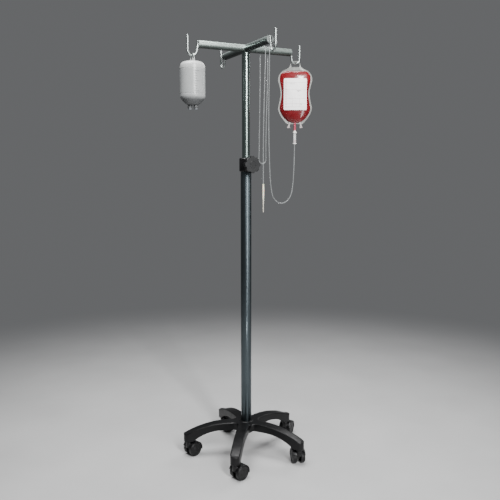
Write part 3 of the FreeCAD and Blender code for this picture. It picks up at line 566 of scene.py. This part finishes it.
class Bag:
    """Shape of the bag in its own plane: s across, n out of the front, z up from the hook's seat."""

    def __init__(self):
        low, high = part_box("bag_film")
        self.seat = Vector(((low.x + high.x) / 2, (low.y + high.y) / 2, high.z - BAG_TOP))
        self.across = Vector((math.cos(HEADING), math.sin(HEADING), 0))
        self.out = Vector((math.sin(HEADING), -math.cos(HEADING), 0))
        self.angles = np.linspace(-math.pi / 2, 1.5 * math.pi, 240, endpoint=False)
        self.film = self.reach(FILM_OUTLINE)
        self.pouch = self.reach(POUCH_OUTLINE)
        self.half = smooth_line(POUCH_OUTLINE)
        self.depths = smooth_line(POUCH_DEPTH)

    def point(self, s, n, z):
        """Point in the row frame."""
        return self.seat + self.across * float(s) + self.out * float(n) + UP * float(z)

    def reach(self, outline):
        """Distance from the core to an outline, at each angle."""
        right = smooth_line(outline)
        left = right[::-1] * (-1, 1)
        around = np.concatenate([right, left[1:-1]]) - BAG_CORE
        angle = np.arctan2(around[:, 1], around[:, 0])
        order = np.argsort(angle)
        wanted = (self.angles + math.pi) % (2 * math.pi) - math.pi
        return np.interp(wanted, angle[order], np.hypot(*around.T)[order], period=2 * math.pi)

    def depth(self, s, z):
        """Half thickness of the pouch at a point of its plane."""
        thick = np.interp(z, self.depths[:, 0], self.depths[:, 1])
        wide = np.interp(-z, -self.half[:, 1], self.half[:, 0])
        share = min(abs(s) / max(wide, 1e-6), 1)
        return max(thick, 0) * (1 - share ** POUCH_CURVE) ** POUCH_EDGE

    def crumple(self, s, z, share, side):
        """Small dents: puckers along the weld and slow waves over the whole face."""
        wave_grain, pucker_grain = 36, 13
        deepest, spread = 0.90, 0.07        # shares of the way out
        wave = noise.noise(Vector((s * wave_grain, z * wave_grain, side * 21.2))) * min(1, (1 - share) * 4)
        turn = math.atan2(z - BAG_CORE[1], s)
        around = Vector((math.cos(turn), math.sin(turn), 0)) * pucker_grain
        pucker = noise.noise(around + Vector((0, 0, side * 2.7)))
        near_weld = math.exp(-((share - deepest) / spread) ** 2)
        return WAVES * wave + PUCKERS * pucker * near_weld * (1 - share)

    def rings(self, inset=0.0, count=26):
        """Loops from the weld to the core: each is a list of (s, z, share of the way out)."""
        loops = []
        for j in range(count):
            share = math.sin(math.pi / 2 * (1 - j / count))
            around = self.around((self.pouch - inset) * share)
            loops.append([(s, z, share) for s, z in around])
        return loops

    def around(self, reach):
        """Points (s, z) at a distance from the core, at each angle."""
        return [(r * math.cos(a), r * math.sin(a) + BAG_CORE[1]) for r, a in zip(reach, self.angles)]


def loops_mesh(bag, front, back, middle):
    """Closed mesh from loops of (s, n, z) on front and back, from the outside in to a middle point."""
    verts, fronts, backs = [], [], []
    for loops, found in ((front, fronts), (back, backs)):
        for loop in loops:
            found.append(list(range(len(verts), len(verts) + len(loop))))
            verts += [bag.point(*p) for p in loop]
    faces = strip(fronts, False) + [tuple(reversed(f)) for f in strip(backs, False)]
    faces += strip([backs[0], fronts[0]], False)
    for rings, n in ((fronts, middle[0]), (backs, middle[1])):
        verts.append(bag.point(0, n, BAG_CORE[1]))
        ring = rings[-1]
        faces += [(ring[k], ring[(k + 1) % len(ring)], len(verts) - 1) for k in range(len(ring))]
    return verts, faces


def rounded_box(bag, width, low, high, corner, depth, steps=6):
    """Prism across the film's plane with a rounded rectangle for its section."""
    centres = [(width / 2 - corner, high - corner), (corner - width / 2, high - corner),
               (corner - width / 2, low + corner), (width / 2 - corner, low + corner)]
    outline = []
    for k, (s, z) in enumerate(centres):
        for step in range(steps + 1):
            angle = math.pi / 2 * (k + step / steps)
            outline.append((s + corner * math.cos(angle), z + corner * math.sin(angle)))
    verts = [bag.point(s, n, z) for n in (-depth, depth) for s, z in outline]
    count = len(outline)
    return verts, strip([list(range(count)), list(range(count, 2 * count))])


def cut_out(piece, verts, faces):
    """Takes a closed shape out of a piece."""
    mesh = bpy.data.meshes.new("cutter")
    mesh.from_pydata([tuple(v) for v in verts], [], faces)
    cutter = bpy.data.objects.new("cutter", mesh)
    bpy.context.scene.collection.objects.link(cutter)
    boolean = piece.modifiers.new("cut", "BOOLEAN")
    boolean.object = cutter
    boolean.operation = "DIFFERENCE"
    boolean.solver = "EXACT"
    bpy.context.view_layer.update()
    done = bpy.data.meshes.new_from_object(piece.evaluated_get(bpy.context.evaluated_depsgraph_get()))
    piece.modifiers.clear()
    piece.data = done
    bpy.data.objects.remove(cutter)


def add_bag():
    """Film, filling, label, ports, spike and drip chamber."""
    bag = Bag()
    add_film(bag)
    add_blood(bag)
    add_label(bag)
    add_side_ports(bag)
    add_middle_port(bag.seat.xy)
    white = moulded("spike_plastic", (0.74, 0.73, 0.70), (0.84, 0.83, 0.80), 0.25, 0.4, grain=1200,
                    depth=0.00002)
    add_spike(bag.seat.xy, white)
    add_chamber(bag.seat.xy, white)


def add_film(bag):
    """Two welded skins round the pouch, with two embossed seams and a slot for the hook."""
    front, back = [], []
    # Share of the way from the pouch to the film's edge, and half thickness there.
    band = [(1.0, 0.00015), (0.985, FILM_HALF), (0.80, FILM_HALF), (0.74, SEAM_HALF), (0.66, SEAM_HALF),
            (0.60, FILM_HALF), (0.35, FILM_HALF), (0.28, SEAM_HALF), (0.20, SEAM_HALF), (0.14, FILM_HALF),
            (0.05, FILM_HALF)]
    ripple, grain = 0.0009, 60
    for share, half in band:
        loop = bag.around(bag.pouch + (bag.film - bag.pouch) * share)
        wave = [ripple * noise.noise(Vector((s * grain, z * grain, 0))) * min(share * 2, 1) for s, z in loop]
        front.append([(s, w + half, z) for (s, z), w in zip(loop, wave)])
        back.append([(s, w - half, z) for (s, z), w in zip(loop, wave)])
    for loop in bag.rings():
        for side, found in ((1, front), (-1, back)):
            found.append([(s, side * (FILM_HALF + bag.depth(s, z) + bag.crumple(s, z, share, side)), z)
                          for s, z, share in loop])
    thick = bag.depth(0, BAG_CORE[1]) + FILM_HALF
    verts, faces = loops_mesh(bag, front, back, (thick, -thick))
    film = clear("bag_film", (0.44, 0.45, 0.42), (0.008, 0.30), 0.18, 0.3, attribute="weld")
    piece = new_piece("bag_skin", verts, faces, "bag", film, "bag_film", sharp=50)
    weld = piece.data.attributes.new("weld", "FLOAT", "POINT")
    count = len(bag.angles)
    values = np.zeros(len(verts), np.float32)
    for side_start in (0, len(front) * count):
        values[side_start:side_start + len(band) * count] = 1.0
        values[side_start:side_start + count] = 1.9     # the outer edge is cloudier
    weld.data.foreach_set("value", values)
    cut_out(piece, *rounded_box(bag, width=0.030, low=-0.013, high=0.001, corner=0.003, depth=0.01))
    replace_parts(piece, "bag_film")


def add_blood(bag):
    """The filling, a little inside the skins."""
    gap, least = 0.0003, 0.0001
    front, back = [], []
    for loop in bag.rings(inset=0.0004):
        for side, found in ((1, front), (-1, back)):
            found.append([(s, side * (max(bag.depth(s, z) - gap, least) + bag.crumple(s, z, share, side)), z)
                          for s, z, share in loop])
    thick = bag.depth(0, BAG_CORE[1]) - gap
    verts, faces = loops_mesh(bag, front, back, (thick, -thick))
    low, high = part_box("bag_blood")
    blood = blood_material(low.z + 0.010, high.z - 0.004)
    piece = new_piece("blood_filling", verts, faces, "bag", blood, "blood")
    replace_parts(piece, "bag_blood")


def add_label(bag):
    """Paper label that follows the front of the pouch."""
    columns, rows = 41, 56
    corner, lift, paper = 0.003, 0.0007, 0.0002
    verts, uvs = [], []
    for n_extra in (lift + paper, lift):
        for j in range(rows + 1):
            for k in range(columns + 1):
                s = LABEL_WIDTH * (k / columns - 0.5)
                past = max(abs(s) - (LABEL_WIDTH / 2 - corner), 0)
                trim = corner - math.sqrt(max(corner ** 2 - past ** 2, 0))
                z = LABEL_LOW + trim + (LABEL_HEIGHT - 2 * trim) * j / rows
                skin = FILM_HALF + bag.depth(s, z) + bag.crumple(s, z, 0.5, 1)
                verts.append(bag.point(s, skin + n_extra, z))
                uvs.append((s / LABEL_WIDTH + 0.5, (z - LABEL_LOW) / LABEL_HEIGHT))
    wide = columns + 1
    layer = wide * (rows + 1)
    corners = [j * wide + k for j in range(rows) for k in range(columns)]
    quads = [(i, i + 1, i + wide + 1, i + wide) for i in corners]
    faces = quads + [tuple(i + layer for i in reversed(quad)) for quad in quads]
    edge = list(range(wide)) + [j * wide + columns for j in range(1, rows + 1)]
    edge += [rows * wide + k for k in range(columns - 1, -1, -1)] + [j * wide for j in range(rows - 1, 0, -1)]
    faces += [(b, a, a + layer, b + layer) for a, b in zip(edge, edge[1:] + edge[:1])]
    printed = label_paper(LABEL_WIDTH / MM, LABEL_HEIGHT / MM)
    piece = new_piece("bag_label_sheet", verts, faces, "bag", printed, "label_paper")
    layer_uv = piece.data.uv_layers.new(name="label")
    for loop in piece.data.loops:
        layer_uv.data[loop.index].uv = uvs[loop.vertex_index]
    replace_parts(piece, "bag_label")


def add_side_ports(bag):
    """Two sealed ports that splay a little, each with a tear-off tab."""
    splay = 0.75        # the ports' distance at the film, as a share of that at the foot
    length = 0.0220
    profile = [(0, 0), (0.0036, 0), (0.0039, 0.0012), (0.0036, 0.0050), (0.0029, 0.0062), (0.0027, length),
               (0, length)]
    sealed = []
    for s in (-0.0225, 0.0225):
        top, foot = bag.point(s * splay, 0, -0.202), bag.point(s, 0, -0.2245)
        sealed.append(lathe(round_profile(profile, 0.0012), foot, top - foot, 32))
        sealed.append(port_tab(bag, s))
    soft = clear("port_plastic", (0.62, 0.56, 0.55), (0.45, 0.65), 0.2, 0.35)
    verts, faces = joined(*sealed)
    piece = new_piece("bag_side_ports", verts, faces, "bag", soft, "clear_plastic")
    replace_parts(piece, "bag_ports")


def port_tab(bag, s):
    """Tear-off tab across the foot of a side port."""
    verts, faces = rounded_box(bag, width=0.010, low=-0.2280, high=-0.2235, corner=0.0018, depth=0.0009)
    return [v + s * bag.across for v in verts], faces


def add_middle_port(middle):
    """Pink port that the spike is pushed into."""
    below, length = 0.010, 0.032        # its foot below the CAD port's, and its length
    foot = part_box("bag_spike_port")[0].z - below
    profile = [(0, 0), (0.0041, 0), (0.0046, 0.0008), (0.0046, 0.0022), (0.0040, 0.003), (0.0042, 0.012),
               (0.0040, 0.023), (0.0034, length), (0, length)]
    verts, faces = lathe(round_profile(profile, 0.0008), Vector((*middle, foot)))
    pink = clear("spike_port_plastic", (0.42, 0.035, 0.075), (0.75, 0.9), 0.2, 0.35)
    piece = new_piece("bag_middle_port", verts, faces, "bag", pink, "clear_plastic")
    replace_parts(piece, "bag_spike_port")


def add_spike(middle, white):
    """Spike body with its finger flange."""
    low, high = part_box("spike")
    length = high.z - low.z
    profile = [(0, 0), (0.0052, 0), (0.0056, 0.0008), (0.0056, 0.0030), (0.0034, 0.0042), (0.0031, 0.014),
               (0.0026, length), (0, length)]
    verts, faces = lathe(round_profile(profile, 0.0006), Vector((*middle, low.z)))
    piece = new_piece("spike_body", verts, faces, "bag", white, "spike_plastic")
    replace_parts(piece, "spike")


def add_chamber(middle, white):
    """Clear drip chamber with its upper and lower cap, and some blood in its foot."""
    low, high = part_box("drip_chamber_caps")
    wall_low, wall_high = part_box("drip_chamber")
    r = (wall_high.x - wall_low.x) / 2
    bore = r * 0.86
    length = wall_high.z - wall_low.z
    outlet = 0.0042
    profile = [(outlet, 0), (r * 0.90, 0), (r, 0.004), (r, length - 0.003), (r * 0.96, length),
               (r * 0.80, length), (bore, length - 0.004), (bore, 0.005), (outlet, 0.0015)]
    verts, faces = lathe(round_profile(profile, 0.001), Vector((*middle, wall_low.z)))
    glass = clear("chamber_plastic", (0.84, 0.86, 0.86), (0.30, 0.42), 0.05, 0.12)
    piece = new_piece("drip_chamber_wall", verts, faces, "bag", glass, "clear_plastic")
    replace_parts(piece, "drip_chamber")

    cap, rise = (high.x - low.x) / 2, high.z - wall_high.z
    upper = [(0, 0), (cap * 0.86, 0), (cap, 0.0008), (cap, 0.0030), (cap * 0.72, rise), (0, rise)]
    lower = [(0.0012, 0), (0.0026, 0), (0.0030, 0.0014), (cap * 0.8, 0.0020), (cap, 0.0028),
             (cap * 0.98, 0.0040), (cap * 0.7, 0.0048), (0, 0.0048)]
    verts, faces = joined(lathe(round_profile(upper, 0.0005), Vector((*middle, wall_high.z))),
                          lathe(round_profile(lower, 0.0005), Vector((*middle, low.z))))
    piece = new_piece("drip_chamber_ends", verts, faces, "bag", white, "white_plastic")
    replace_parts(piece, "drip_chamber_caps")

    inside = r * 0.84
    profile = [(0, 0.0005), (0.0040, 0.0018), (inside, 0.0055), (inside, 0.0125), (r * 0.78, 0.0120),
               (0, 0.0118)]
    verts, faces = lathe(round_profile(profile, 0.0005), Vector((*middle, wall_low.z)))
    new_piece("drip_chamber_blood", verts, faces, "bag", bpy.data.materials["blood"], "blood")


# ---------------------------------------------------------------- bottle

BOTTLE_WALL = 0.0012
BOTTLE_HEIGHT = 0.140
BOTTLE_DOME = 0.027                 # the dome's height, at the end that hangs down
BOTTLE_SHOULDER = 0.018             # the round at the other end
BOTTLE_PORT = 0.0065                # a port's radius
PORT_PLACE = 0.010                  # and its distance from the middle


class Bottle:
    """Where the bottle hangs, and how wide it is."""

    def __init__(self):
        low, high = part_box("bottle_fluid")
        self.radius = (high.x - low.x) / 2 + BOTTLE_WALL
        self.foot = Vector((*box_middle("bottle_fluid").xy, low.z - BOTTLE_WALL))
        self.level = high.z
        self.top = self.foot.z + BOTTLE_HEIGHT

    def at_ports(self, profile, radius):
        """Solids of revolution at both ports, from a profile whose corners get rounded."""
        across = Vector((math.cos(HEADING), math.sin(HEADING), 0))
        rounded = round_profile(profile, radius)
        return [lathe(rounded, self.foot + side * PORT_PLACE * across) for side in (-1, 1)]


def add_bottle():
    """Milky bottle, upside down, with its graduations and stoppers."""
    bottle = Bottle()
    r = bottle.radius
    shares = [(0, 0), (0.42, 0), (0.53, 0.10), (0.70, 0.32), (0.84, 0.55), (0.94, 0.78), (0.99, 0.94),
              (1, 1.05)]
    dome = [(wide * r, up * BOTTLE_DOME) for wide, up in shares]
    height, curve = BOTTLE_HEIGHT, BOTTLE_SHOULDER
    grooves = [(r, 0.034), (r - 0.0006, 0.0348), (r - 0.0006, 0.0360), (r, 0.0368), (r, height - 0.026),
               (r - 0.0007, height - 0.0252), (r - 0.0007, height - 0.0238), (r, height - 0.023)]
    shoulder = []
    for k in range(1, 9):
        angle = math.pi / 2 * k / 8
        shoulder.append((r - curve + curve * math.cos(angle), height - curve + curve * math.sin(angle)))
    rest = height - 0.0012      # the end's face, below its rim
    rim = [(r - 0.020, height), (r - 0.0212, rest), (r - 0.0235, rest), (0, rest)]
    body = lathe(dome + grooves + shoulder + rim, bottle.foot, segments=96)
    flange = BOTTLE_PORT + 0.0012
    neck = [(0, 0.002), (BOTTLE_PORT, 0.0015), (BOTTLE_PORT, -0.004), (flange, -0.0048), (flange, -0.0075),
            (BOTTLE_PORT, -0.0083), (BOTTLE_PORT, -0.0110), (0, -0.0110)]
    # the dome's painted shade fades out between 0.6 of the dome's height and its top
    milky = bottle_material(bottle.foot.z + 0.6 * BOTTLE_DOME, bottle.foot.z + BOTTLE_DOME, bottle.level)
    verts, faces = joined(body, *bottle.at_ports(neck, 0.0005), *lugs(bottle))
    piece = new_piece("bottle_body", verts, faces, "bottle", milky, "bottle_plastic", sharp=35)
    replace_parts(piece, "bottle_shell", "bottle_fluid")
    add_graduations(bottle)
    add_stoppers(bottle)


def add_stoppers(bottle):
    """Rubber stopper in each port."""
    plug = [(0, -0.0108), (0.0060, -0.0108), (0.0060, -0.0125), (0.0050, -0.0130), (0.0050, -0.0150),
            (0.0042, -0.0150), (0.0030, -0.0142), (0, -0.0142)]
    verts, faces = joined(*bottle.at_ports(plug, 0.0003))
    rubber = moulded("stopper_rubber", (0.10, 0.11, 0.12), (0.17, 0.18, 0.19), 0.5, 0.7)
    piece = new_piece("bottle_bungs", verts, faces, "bottle", rubber, "stopper_rubber")
    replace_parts(piece, "bottle_stoppers")


def add_graduations(bottle):
    """Raised level marks on the front of the bottle, each fourth one longer."""
    first, apart, half_line = 0.042, 0.008, 0.0005
    sunk, proud = 0.0004, 0.0003
    start = math.atan2(-math.cos(HEADING), math.sin(HEADING)) + math.radians(14)
    steps = 8
    marks = []
    for k in range(9):
        z = bottle.foot.z + first + apart * k
        length = 0.017 if k % 4 == 0 else 0.009
        verts, rows = [], []
        for up in (-half_line, half_line):
            for out in (bottle.radius - sunk, bottle.radius + proud):
                rows.append(len(verts))
                for j in range(steps + 1):
                    angle = start + length * j / steps / bottle.radius
                    side = Vector((math.cos(angle), math.sin(angle), 0))
                    verts.append(Vector((*bottle.foot.xy, z + up)) + out * side)
        a, b, d, c = rows
        faces = []
        for j in range(steps):
            for p, q in ((a, b), (b, c), (c, d), (d, a)):
                faces.append((p + j, p + j + 1, q + j + 1, q + j))
        faces += [(a, b, c, d), (d + steps, c + steps, b + steps, a + steps)]
        marks.append((verts, faces))
    ink = moulded("graduation_ink", (0.03, 0.032, 0.036), (0.07, 0.072, 0.078), 0.4, 0.6)
    new_piece("bottle_graduations", *joined(*marks), "bottle", ink, "bottle_plastic")


def lugs(bottle):
    """Two lugs that the bail's pins turn in."""
    pin = joints["bottle_tilt"]["pos_m"][2]
    near, far = 0.0077, 0.0127      # the lug's faces, from the middle of the bottle
    half, foot_half, foot = 0.004, 0.0052, bottle.top - 0.0015
    outline = [(-foot_half, foot), (-half, pin - 0.001)]
    for k in range(1, 8):
        angle = math.pi * k / 8
        outline.append((-half * math.cos(angle), pin + half * math.sin(angle)))
    outline += [(half, pin - 0.001), (foot_half, foot)]
    x, y = bottle.foot.xy
    made = []
    for side in (-1, 1):
        faces_at = sorted((side * near, side * far))
        verts = [Vector((x + across, y + ahead, z)) for ahead in faces_at for across, z in outline]
        count = len(outline)
        made.append((verts, strip([list(range(count)), list(range(count, 2 * count))])))
    return made


# ---------------------------------------------------------------- rigid parts

def finish_plastics():
    """Materials of the moulded CAD nodes."""
    base = moulded("base_plastic", (0.0015, 0.0016, 0.0018), (0.004, 0.004, 0.0045), 0.30, 0.42, dust=0.008,
                   edge=0.006, Specular_IOR_Level=0.24)
    black = moulded("black_plastic", (0.002, 0.002, 0.0022), (0.005, 0.005, 0.0055), 0.3, 0.45,
                    Specular_IOR_Level=0.3)
    caster = moulded("caster_plastic", (0.0015, 0.0015, 0.0018), (0.004, 0.004, 0.0045), 0.22, 0.36,
                     dust=0.01, edge=0.002, Specular_IOR_Level=0.32)
    wheel = moulded("wheel_plastic", (0.002, 0.002, 0.0022), (0.006, 0.006, 0.0065), 0.3, 0.5, dust=0.015,
                    edge=0.0015, Specular_IOR_Level=0.3)
    nylon = moulded("nylon", (0.62, 0.61, 0.57), (0.70, 0.69, 0.65), 0.35, 0.5)
    outward = (box_middle("knob_cap") - box_middle("knob_stud")).normalized()
    grip = faced("knob_plastic", (0.003, 0.003, 0.0033), (0.015, 0.0155, 0.016), outward)
    paint(base, "star_base")
    paint(black, "collar_body")
    paint(grip, "knob_body", "knob_cap")
    paint(nylon, "guide_bush", "slider_bush", "pressure_pad", "head_plug", "tube_end_plug")
    for k in CASTERS:
        paint(caster, f"caster_{k}_hood")
        paint(wheel, f"caster_{k}_wheel_left", f"caster_{k}_wheel_right")


def finish_metals():
    """Materials of the metal CAD nodes, each with its lines along the part. The arms get lit and shaded
    copies of one steel, as painted light and shade.
    """
    along_x, along_y, along_z = range(3)
    faint = 0.0000005       # depth of the scratches on polished metal
    lower = brushed("lower_tube_steel", (0.085, 0.105, 0.115), along_z, 0.30, 0.38, scratch=faint)
    upper = brushed("satin_steel_z", (0.24, 0.30, 0.28), along_z, 0.22, 0.28, scratch=faint)
    # the arms are one steel: the side arms' lighter colour is painted light, the front and back arms' darker
    # one is painted shade, and both get painted shade underneath
    side_arms_painted_lighter = brushed("satin_steel_x_painted_lighter", (0.56, 0.65, 0.61), along_x, 0.34, 0.42, below=0.12)
    long_arms_painted_darker = brushed("satin_steel_y_painted_darker", (0.36, 0.42, 0.40), along_y, 0.34, 0.44, below=0.12)
    chrome = brushed("chrome", (0.34, 0.37, 0.36), along_z, 0.32, 0.38, scratch=faint, tint=0.92, grain=120)
    steel = brushed("bright_steel", (0.60, 0.60, 0.60), along_z, 0.2, 0.35)
    brass = brushed("brass", (0.72, 0.50, 0.18), along_y, 0.2, 0.3)
    paint(lower, "lower_tube")
    paint(upper, "upper_tube")
    paint(side_arms_painted_lighter, "arm_right", "arm_left")
    paint(long_arms_painted_darker, "arm_front", "arm_back")
    paint(chrome, "hook_right", "hook_back", "hook_left", "hook_front", "bottle_bail")
    paint(steel, "base_bolt", "base_washer", "knob_stud", *[f"caster_{k}_stem_axle" for k in CASTERS])
    paint(brass, "threaded_insert")


def finish_edges():
    """Small rounds on the edges that show."""
    for node in [f"caster_{k}_hood" for k in CASTERS] + ["collar_body", "knob_body"]:
        soften(node)
    soften("star_base", 0.0008)
    soften("lower_tube", 0.0003)


# ---------------------------------------------------------------- stage and light

BACKDROP = (0.135, 0.138, 0.142)      # the grey that the floor fades into


def add_floor():
    """Pale floor that fades into the backdrop's grey with the distance from the pole."""
    half_side, near, far = 40, 0.45, 2.6
    corners = [(-half_side, -half_side, 0), (half_side, -half_side, 0), (half_side, half_side, 0),
               (-half_side, half_side, 0)]
    mesh = bpy.data.meshes.new("floor")
    mesh.from_pydata(corners, [], [(0, 1, 2, 3)])
    floor = bpy.data.objects.new("floor", mesh)
    bpy.context.scene.collection.objects.link(floor)
    floor.data.materials.append(floor_material(near, far))


def floor_material(near, far):
    """Matt grey up to the near distance from the origin, and the backdrop's own colour past the far one."""
    m = Material("floor", Roughness=0.65)
    m.colour(m.mix(m.spread(m.noise(3), 0, 1), (0.36, 0.36, 0.36), (0.40, 0.40, 0.40)))
    away = m.node("ShaderNodeVectorMath", operation="LENGTH")
    m.put(m.place, away.inputs[0])
    share = m.node("ShaderNodeMapRange", interpolation_type="SMOOTHSTEP")
    share.inputs["From Min"].default_value = near
    share.inputs["From Max"].default_value = far
    m.put(away.outputs["Value"], share.inputs["Value"])
    glow = m.node("ShaderNodeEmission")
    glow.inputs["Color"].default_value = (*BACKDROP, 1)
    blend = m.node("ShaderNodeMixShader")
    m.put(share.outputs[0], blend.inputs["Fac"])
    m.put(m.shader.outputs[0], blend.inputs[1])
    m.put(glow.outputs[0], blend.inputs[2])
    m.put(blend.outputs[0], m.tree.nodes["Material Output"].inputs["Surface"])
    return m.material


def add_world():
    """One plain grey all round."""
    world = bpy.data.worlds.new("studio")
    bpy.context.scene.world = world
    world.use_nodes = True
    world.node_tree.nodes["Background"].inputs["Color"].default_value = (*BACKDROP, 1)


def from_camera(right, ahead, up):
    """Point of the row frame from directions along the camera's heading, measured from the pole's foot."""
    c, s = math.cos(HEADING), math.sin(HEADING)
    return Vector((c * right - s * ahead, s * right + c * ahead, up))


def add_area(name, place, aim, width, height, power):
    """Area light that faces a height on the pole, in metres and watts."""
    data = bpy.data.lights.new(name, "AREA")
    data.shape = "RECTANGLE"
    data.size = width
    data.size_y = height
    data.energy = power
    light = bpy.data.objects.new(name, data)
    light.location = place
    light.rotation_mode = "QUATERNION"
    light.rotation_quaternion = (aim * UP - place).to_track_quat("-Z", "Y")
    bpy.context.scene.collection.objects.link(light)


def add_lights():
    """Narrow key and fill that make the tubes' stripes, and soft lights behind and above."""
    add_area("key", from_camera(0.9, -2.4, 2.3), aim=1.2, width=0.35, height=1.5, power=160)
    add_area("fill", from_camera(1.3, -2.1, 0.7), aim=0.5, width=0.3, height=1.2, power=18)
    add_area("back", from_camera(1.5, 1.8, 2.4), aim=1.0, width=1.0, height=1.0, power=35)
    add_area("top", from_camera(-0.4, -0.2, 3.2), aim=0.8, width=1.6, height=1.6, power=140)


add_camera()
add_tubing()
add_bag()
add_bottle()
finish_plastics()
finish_metals()
finish_edges()
add_floor()
add_world()
add_lights()
